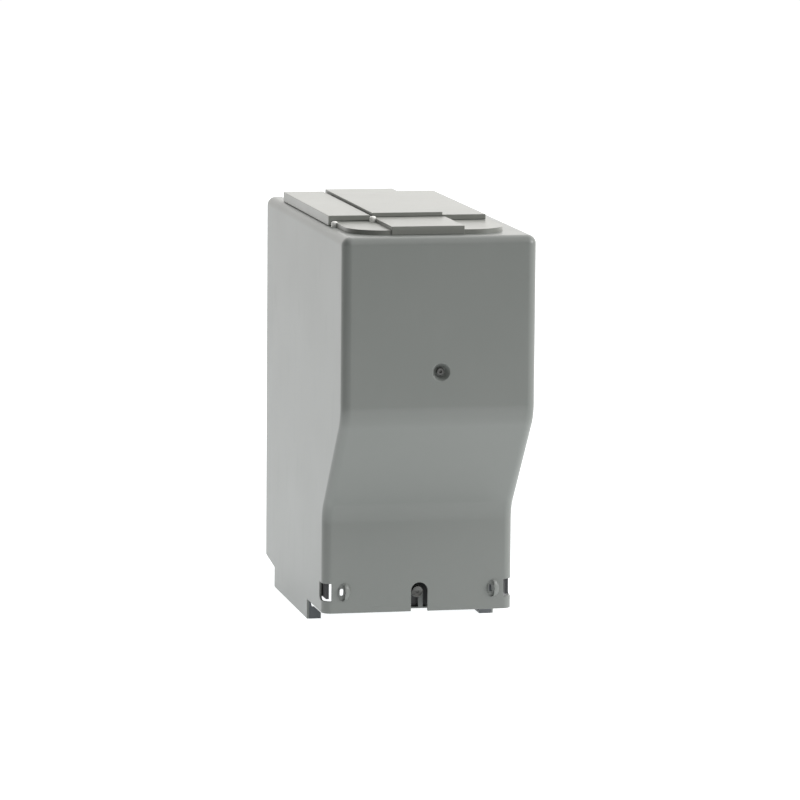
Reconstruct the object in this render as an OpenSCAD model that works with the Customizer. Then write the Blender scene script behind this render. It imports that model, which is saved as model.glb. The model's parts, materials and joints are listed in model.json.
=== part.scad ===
// Meter socket enclosure: a deep one-piece cover that slides over a wall chassis with a meter
// socket, closed by two sliding cable-entry shutters and sealed by screws and spring latches.
// Frame: X right, Y back towards the wall, Z up. The origin is the centre of the footprint.

/* [Cover] */
// Width of the cover
cover_w = 200; // [180:1:220]
// Depth of the cover, front face to wall
cover_d = 420; // [400:1:440]
// Height of the cover's top above the surface it stands on
cover_h = 420; // [405:1:440]
// Wall thickness of the moulding
wall = 2.5; // [2:0.1:3]
// Radius of the long top edges
edge_r = 9; // [6:0.5:12]
// How far the lower front sits behind the upper front
front_step = 95; // [85:1:105]
// Height at which the front starts to slope back
slope_top = 236; // [225:1:245]
// Height at which the slope ends
slope_low = 127; // [115:1:135]
// Radius of the two bends of the slope
bend_r = 34; // [20:1:40]
// Height of the front wall's bottom edge
front_bottom = 21; // [15:1:26]

/* [Top entry] */
// Height of the raised entry plate
entry_t = 4.7; // [4:0.1:6]
// Height of the guide tongue above the entry plate
tongue_t = 4; // [3:0.1:5]
// Thickness of the left shutter
left_shutter_t = 5.7; // [5:0.1:7]
// Thickness of the right shutter beside its raised channel
right_shutter_t = 5.2; // [5:0.1:7]
// Length of both shutters
shutter_len = 251; // [220:1:255]
// Height of the stop studs
stud_h = 6; // [5:0.5:8]

/* [Seals] */
// Distance of both seal screws to the right of the middle
seal_x = 1.6; // [0:0.1:3]
// Height of the centre seal screw
seal_z = 283; // [275:1:295]
// Diameter of the centre dish at the front face
dish_d = 18; // [16:0.1:22]
// Height of the lower seal screw
lower_seal_z = 40; // [38:1:42]
// Width of the lower screw notch
notch_w = 17.4; // [16:0.1:20]
// Distance of each seal eye from the middle
eye_x = 78.6; // [74:0.1:80]
// Height of the seal eyes
eye_z = 43; // [40:1:46]

/* [Chassis] */
// Width of the back plate
plate_w = 184; // [170:1:186]
// Height of the back plate's lower edge
plate_low = 50; // [48:1:56]
// Height of the back plate's upper edge
plate_top = 350; // [330:1:360]
// Sheet thickness of the steel parts
sheet = 3; // [2:0.5:4]
// Horizontal distance between the wall holes
wall_hole_dx = 132; // [131:1:140]
// Vertical distance between the wall holes
wall_hole_dz = 260; // [230:1:270]
// Diameter of the wall holes
wall_hole_d = 7; // [5:0.5:8]

/* [Socket] */
// Distance of the jaws from the middle
jaw_x = 36; // [32:1:40]
// Height of the load jaws
load_z = 132; // [125:1:140]
// Height of the line jaws
line_z = 232; // [225:1:240]
// Diameter of the cable bores in the lugs
lug_bore_d = 14; // [10:0.5:16]

/* [Hidden] */
$fn = 48;

eps = 0.01;
half_w = cover_w / 2;
front_y = -cover_d / 2;
back_y = cover_d / 2;
low_front_y = front_y + front_step;
inner_x = half_w - wall;
slope_drop = slope_top - slope_low;
slope_len = sqrt(front_step * front_step + slope_drop * slope_drop);
// Height change of a slope bend per millimetre of inward offset
bend_shift = (slope_len - slope_drop) / front_step;

// Tongue: the deeper middle stretch of each side wall that the cover stands on
tongue_front = -29;
tongue_back = 159;
tail_low = 21.5;
tail_high = 27;

// Seal lugs, with the groove and slot a little to the left of each lug's middle
lug_rise = 4.2;
lug_half = 6.8;
lug_shift = 0.9;
slot_shift = -1.5;
eye_groove = 4.8;
eye_floor = 1.6;
eye_slot_r = 2.2;
eye_stretch = 1.7;

// Corner windows over the latches
window_x = 90.6;
window_low = 33.8;
window_high = 52;
window_deep = 19;

// Top slot, open at the back, and the plates over it
slot_left = -84;
slot_right = 66;
slot_front = -84;
plate_left = -87;
plate_right = 76;
plate_front = -188;
plate_back = 152;
plate_corner = 38;
opening_len = 226;
bridge_left = -56;
bridge_right = -42;
tongue_left = -46;
tongue_right = 29;
tongue_nose = 1.2;
shutter_gap = 0.3;
shutter_front = -96;
left_shutter_x = [-92.5, -49];
skirt = 2.5;
right_shutter_x = [-47, 72];
channel_x = [-47, 26.5];
channel_rise = 2.8;
stud_r = 3.3;
stud_y = -106.5;
stud_x = [-88.4, -48.6];
plate_z = cover_h + entry_t;
shutter_z = plate_z + shutter_gap;

// Centre seal
boss_r = 12;
boss_len = 11;
dish_floor = 7;
post_r = 5;
clip_front = front_y + boss_len + 0.1;
clip_t = 0.8;
post_front = clip_front + clip_t + 0.5;
centre_head_r = 4;
centre_shank_r = 2;
centre_bore_r = 2.3;

// Lower seal
notch_top = 51.2;
post_low = 21.6;
tab_front = -96;
lower_post_front = -102;
lower_head_r = 6;
lower_shank_r = 2.45;
lower_bore_r = 2.5;

// Chassis
arm_x = 92.5;
arm_low = 58;
arm_high = 90;
arm_flange_x = [80, 96];
arm_front = -99;
arm_back = back_y - sheet;
bar_low = 62;
bar_high = 84;
pivot_x = 92;
pivot_y = -80;
pin_r = 1.5;
latch_low = 36;
latch_high = 55;
latch_x = [93, 96.3];

// Socket
block_back = back_y - sheet;
block_base = 12;
block_x = 62;
block_low = 76;
block_high = 288;
tower_front = 150;
lug_size = 26;
lug_y = 176;
line_lug_z = 262;
load_lug_z = 76;
lug_screw_r = 5;
block_screw_x = 10;
block_screw_z = [100, 262];
// Front of a jaw's tail, and the tail's reach to its lug
tail_y = block_back - block_base - 4.5;
tail_len = 30;
neutral_z = 310;
neutral_y = block_back - 12;
neutral_x = [-30, -10, 10, 30];
neutral_half = 45;
ground_x = 74;
ground_z = 96;

// ---- shared shapes ----

// Points of an arc that rounds corner b between a and c with radius r
function unit(v) = v / norm(v);
function bend(a, b, c, r, n) =
    let (
        u = unit(a - b),
        w = unit(c - b),
        half = acos(u * w) / 2,
        reach = r / tan(half),
        mid = b + unit(u + w) * (r / sin(half)),
        p = b + u * reach - mid,
        q = b + w * reach - mid,
        turn = acos(unit(p) * unit(q)),
        way = p.x * q.y - p.y * q.x > 0 ? 1 : -1
    )
    [for (i = [0:n]) let (t = way * turn * i / n)
        mid + [p.x * cos(t) - p.y * sin(t), p.x * sin(t) + p.y * cos(t)]];

// Front outline in Y and Z at an inward offset, from the top edge down to height low
function front_line(off, low) =
    let (
        shift = bend_shift * off,
        top = [front_y + off, cover_h - off],
        b1 = [front_y + off, slope_top + shift],
        b2 = [low_front_y + off, slope_low + shift],
        foot = [low_front_y + off, low]
    )
    concat(
        bend([0, cover_h - off], top, b1, max(edge_r - off, 1), 8),
        bend(top, b1, b2, bend_r - off, 8),
        bend(b1, b2, foot, bend_r + off, 8),
        [foot]
    );

// Turns a Y-Z outline into a solid that is w wide and centred on X
module along_x(w) {
    rotate([90, 0, 90]) translate([0, 0, -w / 2]) linear_extrude(w) children();
}

// Turns an X-Z outline into a solid from y = a to y = b
module along_y(a, b) {
    translate([0, b, 0]) rotate([90, 0, 0]) linear_extrude(b - a) children();
}

// Box given by its low and high corners
module block(low, high) {
    translate(low) cube(high - low);
}

// Cylinder along +Y from y = a to y = b
module rod_y(r, a, b) {
    translate([0, a, 0]) rotate([-90, 0, 0]) cylinder(r = r, h = b - a);
}

module cone_y(r1, r2, a, b) {
    translate([0, a, 0]) rotate([-90, 0, 0]) cylinder(r1 = r1, r2 = r2, h = b - a);
}

module mirror_x(side) {
    mirror([side < 0 ? 1 : 0, 0, 0]) children();
}

// Rounded rectangle between two corners with its own front and back corner radii
module round_plate(x, y, front_r, back_r) {
    union() {
        for (cx = [x[0] + front_r, x[1] - front_r])
            translate([cx, y[0] + front_r]) circle(r = front_r);
        for (cx = [x[0] + back_r, x[1] - back_r])
            translate([cx, y[1] - back_r]) circle(r = back_r);
        translate([x[0], y[0] + front_r]) square([x[1] - x[0], y[1] - y[0] - front_r - back_r]);
        translate([x[0] + front_r, y[0]]) square([x[1] - x[0] - 2 * front_r, front_r + eps]);
        translate([x[0] + back_r, y[1] - back_r - eps])
            square([x[1] - x[0] - 2 * back_r, back_r + eps]);
    }
}

// ---- cover ----

module top_rounded(half, high) {
    r = edge_r - (half_w - half);
    union() {
        translate([-half, -20]) square([2 * half, high - r + 20]);
        translate([-half + r, 0]) square([2 * (half - r), high]);
        for (s = [-1, 1]) translate([s * (half - r), high - r]) circle(r = r);
    }
}

module cover_outer() {
    intersection() {
        along_x(cover_w) polygon(concat(front_line(0, front_bottom), [
            [tongue_front, front_bottom], [tongue_front, 0], [tongue_back, 0],
            [tongue_back, tail_low], [back_y, tail_high], [back_y, cover_h]
        ]));
        along_y(front_y - 1, back_y + 1) top_rounded(half_w, cover_h);
    }
}

module cover_inner() {
    intersection() {
        along_x(2 * inner_x) polygon(concat(front_line(wall, -10), [
            [back_y + 10, -10], [back_y + 10, cover_h - wall]
        ]));
        along_y(front_y, back_y + 10) top_rounded(inner_x, cover_h - wall);
    }
}

// Raised lug for the seal wire on the lower front
module eye_lug() {
    translate([0, low_front_y, eye_z]) intersection() {
        union() {
            cone_y(6.4, 8.4, -lug_rise, -lug_rise / 2);
            cone_y(8.4, 9.2, -lug_rise / 2, 0.5);
        }
        block([-lug_half, -lug_rise - 1, -10], [lug_half, 1, 10]);
    }
}

// Upright groove across a lug, and the slot through its floor
module seal_eye() {
    translate([0, low_front_y, eye_z]) {
        block([-eye_groove / 2, -lug_rise - 1, -9.5], [eye_groove / 2, -eye_floor, 9.5]);
        for (dz = [-1, 1]) translate([0, 0, dz * eye_stretch]) rod_y(eye_slot_r, -5, wall + 1);
        block([-eye_slot_r, -5, -eye_stretch], [eye_slot_r, wall + 1, eye_stretch]);
    }
}

module cover_cuts() {
    // centre dish, screw seat and bore
    translate([seal_x, front_y, seal_z]) {
        cone_y(dish_d / 2 + 0.1, 5.6, -0.1, dish_floor);
        rod_y(centre_bore_r, 0, 20);
    }
    // lower screw notch
    along_y(low_front_y - 1, low_front_y + wall + 1) {
        translate([seal_x, notch_top - notch_w / 2]) circle(d = notch_w);
        translate([seal_x - notch_w / 2, 0]) square([notch_w, notch_top - notch_w / 2]);
    }
    for (s = [-1, 1]) {
        translate([s * eye_x + slot_shift, 0, 0]) seal_eye();
        mirror_x(s) block([window_x, low_front_y - 1, window_low],
                          [half_w + 1, low_front_y + window_deep, window_high]);
    }
    // top slot, open at the back
    block([slot_left, slot_front, cover_h - wall - 1], [slot_right, back_y + 1, cover_h + 1]);
}

module cover_shell() {
    color([0.52, 0.54, 0.52]) difference() {
        union() {
            difference() {
                cover_outer();
                cover_inner();
            }
            translate([seal_x, front_y, seal_z]) rod_y(boss_r, 1, boss_len);
            for (s = [-1, 1]) translate([s * eye_x + lug_shift, 0, 0]) eye_lug();
        }
        cover_cuts();
    }
}

module foot(side) {
    color([0.33, 0.35, 0.37]) mirror_x(side) {
        block([inner_x - 12.5, tongue_front, 0], [inner_x, tongue_back, 2.5]);
        block([inner_x - 2, tongue_front, 0], [inner_x, tongue_back, 30]);
        along_y(tongue_front, tongue_front + 3) polygon([
            [inner_x, 0], [inner_x, 20.5], [inner_x - 2.3, 15], [inner_x - 3.2, 12.5],
            [inner_x - 5.5, 12.5], [inner_x - 9.5, 9], [inner_x - 12.5, 6], [inner_x - 12.5, 0]
        ]);
    }
}

module left_foot() foot(-1);
module right_foot() foot(1);

module entry_plate() {
    color([0.55, 0.57, 0.55]) translate([0, 0, cover_h]) linear_extrude(entry_t) difference() {
        round_plate([plate_left, plate_right], [plate_front, plate_back], plate_corner, 6);
        translate([slot_left, slot_front]) square([bridge_left - slot_left, opening_len]);
        translate([bridge_right, slot_front]) square([slot_right - bridge_right, opening_len]);
        translate([stud_x[0], stud_y]) circle(r = stud_r + 0.4);
    }
}

module guide_tongue() {
    color([0.58, 0.6, 0.58]) difference() {
        union() {
            block([tongue_left, plate_front - tongue_nose, plate_z],
                  [tongue_right, slot_front, plate_z + tongue_t]);
            block([tongue_left, slot_front - 1, plate_z],
                  [bridge_right, plate_back - 12, plate_z + tongue_t]);
            block([tongue_left, plate_front - tongue_nose, cover_h],
                  [tongue_right, plate_front, plate_z + 1]);
        }
        translate([stud_x[1], stud_y, cover_h]) cylinder(r = stud_r + 0.4, h = 20);
    }
}

module stop_studs() {
    color([0.93, 0.93, 0.9]) for (i = [0, 1])
        translate([stud_x[i], stud_y, i == 0 ? cover_h : plate_z]) {
            cylinder(r = stud_r, h = stud_h - 1.5);
            translate([0, 0, stud_h - 1.5 - eps]) cylinder(r1 = stud_r, r2 = stud_r - 1, h = 1.5);
        }
}

module left_shutter() {
    x = left_shutter_x;
    y = [shutter_front, shutter_front + shutter_len];
    color([0.58, 0.6, 0.58]) {
        difference() {
            block([x[0], y[0], shutter_z], [x[1], y[1], shutter_z + left_shutter_t]);
            block([x[0] + skirt, y[0] + skirt, shutter_z - 1],
                  [x[1] - skirt, y[1] - skirt, shutter_z + 3.2]);
        }
        block([x[0], y[0], cover_h + shutter_gap], [x[0] + skirt, y[1], shutter_z + 1]);
    }
}

module right_shutter() {
    x = right_shutter_x;
    y = [shutter_front, shutter_front + shutter_len];
    groove_top = plate_z + tongue_t + shutter_gap;
    color([0.58, 0.6, 0.58]) difference() {
        union() {
            block([x[0], y[0], shutter_z], [x[1], y[1], shutter_z + right_shutter_t]);
            block([channel_x[0], y[0], shutter_z + 1],
                  [channel_x[1], y[1], shutter_z + right_shutter_t + channel_rise]);
        }
        block([tongue_left - shutter_gap, y[0] - 1, shutter_z - 1],
              [tongue_right + shutter_gap, y[1] + 1, groove_top]);
        block([tongue_right + 2.5, y[0] + 2.5, shutter_z - 1], [x[1] - 2.5, y[1] - 2.5, groove_top]);
    }
}

// T-shaped keeper under a shutter: a stem through the slot and a bar below the top wall
module keeper(stem_x, bar_x) {
    low = cover_h - wall - 3.3;
    color([0.3, 0.32, 0.33]) {
        block([bar_x[0], 40, low], [bar_x[1], 100, low + 3]);
        block([stem_x[0], 50, low + 3 - eps], [stem_x[1], 90, shutter_z + 3.2]);
    }
}

module left_keeper() keeper([-78, -62], [-90, -62]);
module right_keeper() keeper([44, 60], [44, 84]);

// ---- seal screws ----

module centre_seal_screw() {
    seat = front_y + dish_floor;
    color([0.62, 0.63, 0.63]) translate([seal_x, 0, seal_z]) difference() {
        union() {
            rod_y(centre_head_r, seat - 3.1, seat - 0.1);
            rod_y(centre_shank_r, seat - 1, post_front + 10);
        }
        rod_y(1.3, seat - 4, seat - 1.5);
    }
}

module centre_clip() {
    color([0.3, 0.3, 0.3]) translate([seal_x, 0, seal_z]) difference() {
        rod_y(4.2, clip_front, clip_front + clip_t);
        rod_y(centre_shank_r + 0.05, clip_front - 1, clip_front + 2);
    }
}

module lower_seal_screw() {
    color([0.5, 0.51, 0.5]) translate([seal_x, 0, lower_seal_z]) difference() {
        union() {
            rod_y(lower_head_r, lower_post_front - 4.3, lower_post_front - 0.3);
            rod_y(lower_shank_r, lower_post_front - 1, tab_front + 12);
        }
        rod_y(1.2, lower_post_front - 5, lower_post_front - 2);
    }
}

module lower_post() {
    color([0.56, 0.58, 0.57]) difference() {
        union() {
            translate([seal_x, 0, lower_seal_z]) rod_y(6.6, lower_post_front, tab_front);
            block([seal_x + 1.6, lower_post_front, post_low],
                  [seal_x + 6.6, tab_front, lower_seal_z]);
            block([-10, lower_post_front, post_low], [13, tab_front, post_low + 1.6]);
        }
        translate([seal_x, lower_post_front - 1, lower_seal_z]) rod_y(lower_bore_r, 0, 20);
    }
}

// ---- chassis ----

module back_plate() {
    color([0.72, 0.73, 0.74]) difference() {
        union() {
            block([-plate_w / 2, back_y - sheet, plate_low], [plate_w / 2, back_y, plate_top]);
            for (s = [-1, 1]) mirror_x(s) block([plate_w / 2 - sheet, back_y - 30, plate_low + 60],
                                                [plate_w / 2, back_y, plate_top]);
        }
        for (sx = [-1, 1], sz = [-1, 1])
            translate([sx * wall_hole_dx / 2, 0, (plate_low + plate_top + sz * wall_hole_dz) / 2])
                rod_y(wall_hole_d / 2, back_y - sheet - 1, back_y + 1);
    }
}

module arm(side) {
    color([0.3, 0.31, 0.32]) mirror_x(side) difference() {
        union() {
            block([arm_x - sheet, arm_front, arm_low], [arm_x, arm_back, arm_high]);
            block([arm_flange_x[0], arm_front, arm_low], [arm_flange_x[1], arm_back, arm_low + 2.5]);
            block([arm_x - 18, arm_back - sheet, arm_low], [arm_x, arm_back, arm_high]);
        }
        translate([pivot_x, pivot_y, 0]) cylinder(r = pin_r, h = 100);
    }
}

module left_arm() arm(-1);
module right_arm() arm(1);

module arm_rivets() {
    color([0.7, 0.7, 0.7]) for (s = [-1, 1], z = [66, 82])
        translate([s * (arm_x - 10), 0, z]) rod_y(3, arm_back - sheet - 2, arm_back - sheet);
}

module cross_bar() {
    reach = arm_x - sheet;
    color([0.3, 0.31, 0.32]) difference() {
        union() {
            block([-reach, tab_front, bar_low], [reach, tab_front + sheet, bar_high]);
            block([-14, tab_front, post_low], [16, tab_front + sheet, bar_high]);
        }
        translate([seal_x, tab_front - 1, lower_seal_z]) rod_y(lower_bore_r, 0, 20);
    }
}

module seal_post() {
    color([0.65, 0.66, 0.66]) translate([seal_x, 0, seal_z]) difference() {
        union() {
            rod_y(post_r, post_front, back_y - sheet);
            rod_y(11, back_y - sheet - 5, back_y - sheet);
        }
        rod_y(centre_bore_r, post_front - 1, post_front + 14);
    }
}

module latch_pins() {
    color([0.7, 0.7, 0.7]) for (s = [-1, 1]) translate([s * pivot_x, pivot_y, 0]) {
        translate([0, 0, latch_low - 3]) cylinder(r = pin_r, h = arm_low + 5 - latch_low);
        translate([0, 0, latch_low - 3]) cylinder(r = 3.2, h = 2.6);
    }
}

module latch_springs() {
    color([0.5, 0.5, 0.52]) for (s = [-1, 1]) translate([s * pivot_x, pivot_y, latch_high + 0.3])
        difference() {
            cylinder(r = 3.4, h = arm_low - latch_high - 0.6);
            translate([0, 0, -1]) cylinder(r = 2, h = 10);
        }
}

module latch(side) {
    color([0.22, 0.23, 0.24]) mirror_x(side) difference() {
        union() {
            translate([pivot_x, pivot_y, latch_low]) cylinder(r = 4, h = latch_high - latch_low);
            block([latch_x[0], -112.2, latch_low], [latch_x[1], pivot_y, latch_high]);
        }
        translate([pivot_x, pivot_y, 0]) cylinder(r = pin_r + 0.1, h = 100);
    }
}

module left_latch() latch(-1);
module right_latch() latch(1);

// ---- meter socket ----

module socket_block() {
    color([0.16, 0.16, 0.17]) difference() {
        union() {
            block([-block_x, block_back - block_base, block_low], [block_x, block_back, block_high]);
            for (z = [load_z, line_z])
                block([-block_x, tower_front, z - 22], [block_x, block_back - 1, z + 22]);
        }
        // pockets for the jaws, and the barrier groove between them
        for (z = [load_z, line_z]) {
            for (s = [-1, 1]) block([s * jaw_x - 10, tower_front - 1, z - 12],
                                    [s * jaw_x + 10, block_back - block_base, z + 12]);
            way = z == line_z ? 1 : -1;
            for (s = [-1, 1]) translate([s * jaw_x, 0, z]) mirror([0, 0, way < 0 ? 1 : 0])
                block([-6.2, tail_y - 0.2, 0], [6.2, block_back - block_base, 40]);
            block([-1.7, tower_front - 1, z - 23], [1.7, block_back - block_base, z + 23]);
        }
        // clearance for the seal post
        block([-11, tower_front, seal_z - 14], [15, block_back + 1, block_high + 1]);
        for (s = [-1, 1], z = block_screw_z)
            translate([s * block_screw_x, 0, z]) rod_y(2.6, block_back - 20, block_back + 1);
    }
}

module block_screws() {
    color([0.7, 0.7, 0.7]) for (s = [-1, 1], z = block_screw_z) translate([s * block_screw_x, 0, z]) {
        rod_y(2.5, block_back - block_base - 1, block_back);
        rod_y(4.5, block_back - block_base - 3.4, block_back - block_base);
    }
}

module phase_barriers() {
    color([0.75, 0.73, 0.66]) for (z = [load_z, line_z])
        block([-1.5, tower_front - 8, z - 22], [1.5, block_back - block_base, z + 22]);
}

// Spring jaw: a base, two leaves that close towards the mouth, and a tail that meets the lug
module jaw(side, z, way) {
    color([0.78, 0.62, 0.4]) translate([side * jaw_x, 0, z]) {
        translate([0, 0, -8]) linear_extrude(16) {
            translate([-8, tail_y]) square([16, 3]);
            for (s = [-1, 1]) scale([s, 1]) polygon([
                [8, tail_y + 1], [6, tail_y + 1], [6, 166], [1.2, 152], [3.4, 144],
                [5.3, 144.6], [3.6, 152], [8, 165]
            ]);
        }
        mirror([0, 0, way < 0 ? 1 : 0]) block([-6, tail_y, 0], [6, tail_y + 3, tail_len]);
    }
}

module left_line_jaw() jaw(-1, line_z, 1);
module right_line_jaw() jaw(1, line_z, 1);
module left_load_jaw() jaw(-1, load_z, -1);
module right_load_jaw() jaw(1, load_z, -1);

// U-shaped steel springs that wrap a jaw from behind and press on both leaves
module jaw_springs() {
    back = block_back - block_base - 0.1;
    color([0.6, 0.6, 0.62]) for (s = [-1, 1], z = [load_z, line_z])
        translate([s * jaw_x, 0, z - 5]) linear_extrude(10) {
            translate([-9.3, back - 1.2]) square([18.6, 1.2]);
            for (m = [-1, 1]) scale([m, 1]) polygon([
                [8.1, back - 1], [9.3, back - 1], [9.3, 164.4],
                [4.9, 152.4], [3.9, 152.7], [8.1, 164.7]
            ]);
        }
}

module lug(side, low) {
    color([0.8, 0.8, 0.81]) difference() {
        block([side * jaw_x - 11, lug_y - 13, low],
              [side * jaw_x + 11, block_back - block_base, low + lug_size]);
        translate([side * jaw_x, lug_y, low - 1]) cylinder(d = lug_bore_d, h = lug_size + 2);
        translate([side * jaw_x, 0, low + lug_size / 2]) rod_y(lug_screw_r + 0.05, lug_y - 14, lug_y);
    }
}

module line_lugs() {
    for (s = [-1, 1]) lug(s, line_lug_z);
}

module load_lugs() {
    for (s = [-1, 1]) lug(s, load_lug_z);
}

module lug_screws() {
    color([0.5, 0.5, 0.52]) for (s = [-1, 1], z = [line_lug_z, load_lug_z])
        translate([s * jaw_x, 0, z + lug_size / 2]) difference() {
            rod_y(lug_screw_r, lug_y - 20, lug_y - 8);
            translate([0, lug_y - 21, 0]) rotate([-90, 0, 0]) cylinder(r = 2.6, h = 6, $fn = 6);
        }
}

// Bar across the top of the socket with vertical wire bores, and a clamp screw in front of each
module neutral_insulator() {
    color([0.16, 0.16, 0.17]) for (s = [-1, 1]) translate([s * (neutral_half - 5), 0, neutral_z])
        block([-7, neutral_y + 6, -8], [7, block_back, 8]);
}

module neutral_bar() {
    color([0.8, 0.8, 0.81]) translate([0, neutral_y, neutral_z]) difference() {
        block([-neutral_half, -6, -6], [neutral_half, 6, 6]);
        for (x = neutral_x) translate([x, 0, 0]) {
            translate([0, 0, -7]) cylinder(r = 3, h = 14);
            rod_y(2.05, -7, 0);
        }
    }
}

module neutral_screws() {
    color([0.5, 0.5, 0.52]) for (x = neutral_x) translate([x, neutral_y, neutral_z]) {
        rod_y(2, -8, -3.2);
        rod_y(3.4, -9.5, -6.3);
    }
}

module ground_lug() {
    color([0.8, 0.8, 0.81]) difference() {
        block([ground_x - 8, block_back - 18, ground_z], [ground_x + 8, block_back, ground_z + 20]);
        translate([ground_x, block_back - 9, ground_z - 1]) cylinder(r = 4, h = 22);
        translate([ground_x, 0, ground_z + 10]) rod_y(3.05, block_back - 19, block_back - 9);
    }
}

module ground_screw() {
    color([0.35, 0.5, 0.35]) translate([ground_x, 0, ground_z + 10]) {
        rod_y(3, block_back - 20, block_back - 13.3);
        rod_y(5, block_back - 21.8, block_back - 18.3);
    }
}

cover_shell();
left_foot();
right_foot();
entry_plate();
guide_tongue();
stop_studs();
left_shutter();
left_keeper();
right_shutter();
right_keeper();
centre_seal_screw();
centre_clip();
lower_seal_screw();
lower_post();
back_plate();
left_arm();
right_arm();
cross_bar();
arm_rivets();
seal_post();
latch_pins();
latch_springs();
left_latch();
right_latch();
socket_block();
block_screws();
phase_barriers();
left_line_jaw();
right_line_jaw();
left_load_jaw();
right_load_jaw();
jaw_springs();
line_lugs();
load_lugs();
lug_screws();
neutral_insulator();
neutral_bar();
neutral_screws();
ground_lug();
ground_screw();
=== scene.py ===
# %% [markdown]
# A meter socket enclosure stands on a pale studio floor. A deep one-piece plastic cover slides
# over a wall chassis that carries the meter socket, and two sliding shutters close the cable
# entry in its top. Sizes are written in millimetres, because the maker's drawing is, and MM
# turns them into Blender's metres.

# %% Load the frame
import json
import math
import bmesh
import bpy
from mathutils import Matrix, Vector


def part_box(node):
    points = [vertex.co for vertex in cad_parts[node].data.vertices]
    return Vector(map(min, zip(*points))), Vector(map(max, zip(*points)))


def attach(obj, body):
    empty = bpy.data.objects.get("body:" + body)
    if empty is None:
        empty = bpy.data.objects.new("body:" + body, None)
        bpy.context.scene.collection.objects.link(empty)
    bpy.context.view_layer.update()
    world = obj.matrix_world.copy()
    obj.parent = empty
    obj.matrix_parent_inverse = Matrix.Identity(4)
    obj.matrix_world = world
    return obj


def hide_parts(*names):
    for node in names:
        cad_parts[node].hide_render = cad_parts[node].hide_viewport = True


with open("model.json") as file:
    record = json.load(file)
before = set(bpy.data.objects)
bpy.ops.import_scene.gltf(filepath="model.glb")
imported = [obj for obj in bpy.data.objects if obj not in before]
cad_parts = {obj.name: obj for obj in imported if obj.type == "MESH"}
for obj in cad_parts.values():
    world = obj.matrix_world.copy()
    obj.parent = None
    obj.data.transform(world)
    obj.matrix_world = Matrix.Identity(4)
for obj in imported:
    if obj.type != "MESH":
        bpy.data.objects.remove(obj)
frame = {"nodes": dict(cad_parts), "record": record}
bpy.context.view_layer.update()
MM = 0.001
BODY_OF = {n: body for body, nodes in frame["record"]["behaviour"]["bodies"].items() for n in nodes}
SLOT_OF = {row["node"]: row["material_slot"] for row in frame["record"]["subparts"]}

# %% [markdown]
# The camera stands low and to the left of the front, far away with a long lens, so upright
# edges stay parallel. It is described by the angles it looks from, a small roll, and its
# distance to a target point, because those are easy to read and change.

# %% Camera
VIEW = {"azimuth": -12.02, "elevation": 8.14, "roll": 0.46, "distance": 4.938, "lens": 211.5}
target = Vector((4, 0, 225)) * MM
turn, lift = math.radians(VIEW["azimuth"]), math.radians(VIEW["elevation"])
away = Vector((math.sin(turn) * math.cos(lift), -math.cos(turn) * math.cos(lift), math.sin(lift)))
lens = bpy.data.cameras.new("camera")
lens.lens = VIEW["lens"]
lens.sensor_width = 36
camera = bpy.data.objects.new("camera", lens)
bpy.context.scene.collection.objects.link(camera)
roll = Matrix.Rotation(math.radians(VIEW["roll"]), 3, "Z")
look = (-away).to_track_quat("-Z", "Y").to_matrix() @ roll
camera.matrix_world = Matrix.Translation(target + away * VIEW["distance"]) @ look.to_4x4()
bpy.context.scene.camera = camera
print("camera at", [round(value, 3) for value in camera.location])

# %% [markdown]
# Every material is a small tree of nodes. Writing shader maths as Python expressions keeps
# the recipes short: Wire wraps one output socket, and adding or multiplying Wires adds the
# Math nodes. Tree.node makes any other node: its settings are set first, then its sockets.

# %% Node helpers
class Wire:
    def __init__(self, tree, socket):
        self.tree = tree
        self.socket = socket

    def maths(self, operation, first, second):
        return self.tree.node("ShaderNodeMath", {"operation": operation}, {0: first, 1: second})

    def __add__(self, other):
        return self.maths("ADD", self, other)

    def __radd__(self, other):
        return self.maths("ADD", other, self)

    def __sub__(self, other):
        return self.maths("SUBTRACT", self, other)

    def __rsub__(self, other):
        return self.maths("SUBTRACT", other, self)

    def __mul__(self, other):
        return self.maths("MULTIPLY", self, other)

    def __rmul__(self, other):
        return self.maths("MULTIPLY", other, self)


class Tree:
    def __init__(self, nodes_of):
        self.tree = nodes_of
        self.tree.nodes.clear()

    def node(self, kind, settings=None, values=None, out=0):
        made = self.tree.nodes.new(kind)
        for name, value in (settings or {}).items():
            setattr(made, name, value)
        for key, value in (values or {}).items():
            if isinstance(value, Wire):
                self.tree.links.new(value.socket, made.inputs[key])
            else:
                made.inputs[key].default_value = value
        return Wire(self, made.outputs[out]) if len(made.outputs) else made

    def place(self, stretch=(1, 1, 1)):
        here = self.node("ShaderNodeTexCoord", out="Object")
        return self.node("ShaderNodeMapping", values={"Vector": here, "Scale": stretch})

    def noise(self, where, scale, detail=3.0):
        sockets = {"Vector": where, "Scale": scale, "Detail": detail}
        return self.node("ShaderNodeTexNoise", values=sockets)

    def between(self, share, low, high):
        settings = {"data_type": "RGBA"}
        return self.node("ShaderNodeMix", settings, {0: share, 6: low, 7: high}, out=2)

    def spread(self, value, low, high, bottom=0.0, top=1.0):
        sockets = {"Value": value, "From Min": low, "From Max": high}
        sockets.update({"To Min": bottom, "To Max": top})
        return self.node("ShaderNodeMapRange", values=sockets)

    def bump(self, height, depth):
        return self.node("ShaderNodeBump", values={"Height": height, "Distance": depth * MM})

    def finish(self, **sockets):
        named = {name.replace("_", " "): value for name, value in sockets.items()}
        shader = self.node("ShaderNodeBsdfPrincipled", values=named)
        self.node("ShaderNodeOutputMaterial", values={"Surface": shader})


def new_finish(name):
    material = bpy.data.materials.new(name)
    material.use_nodes = True
    return material, Tree(material.node_tree)


print("node helpers ready")

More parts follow.
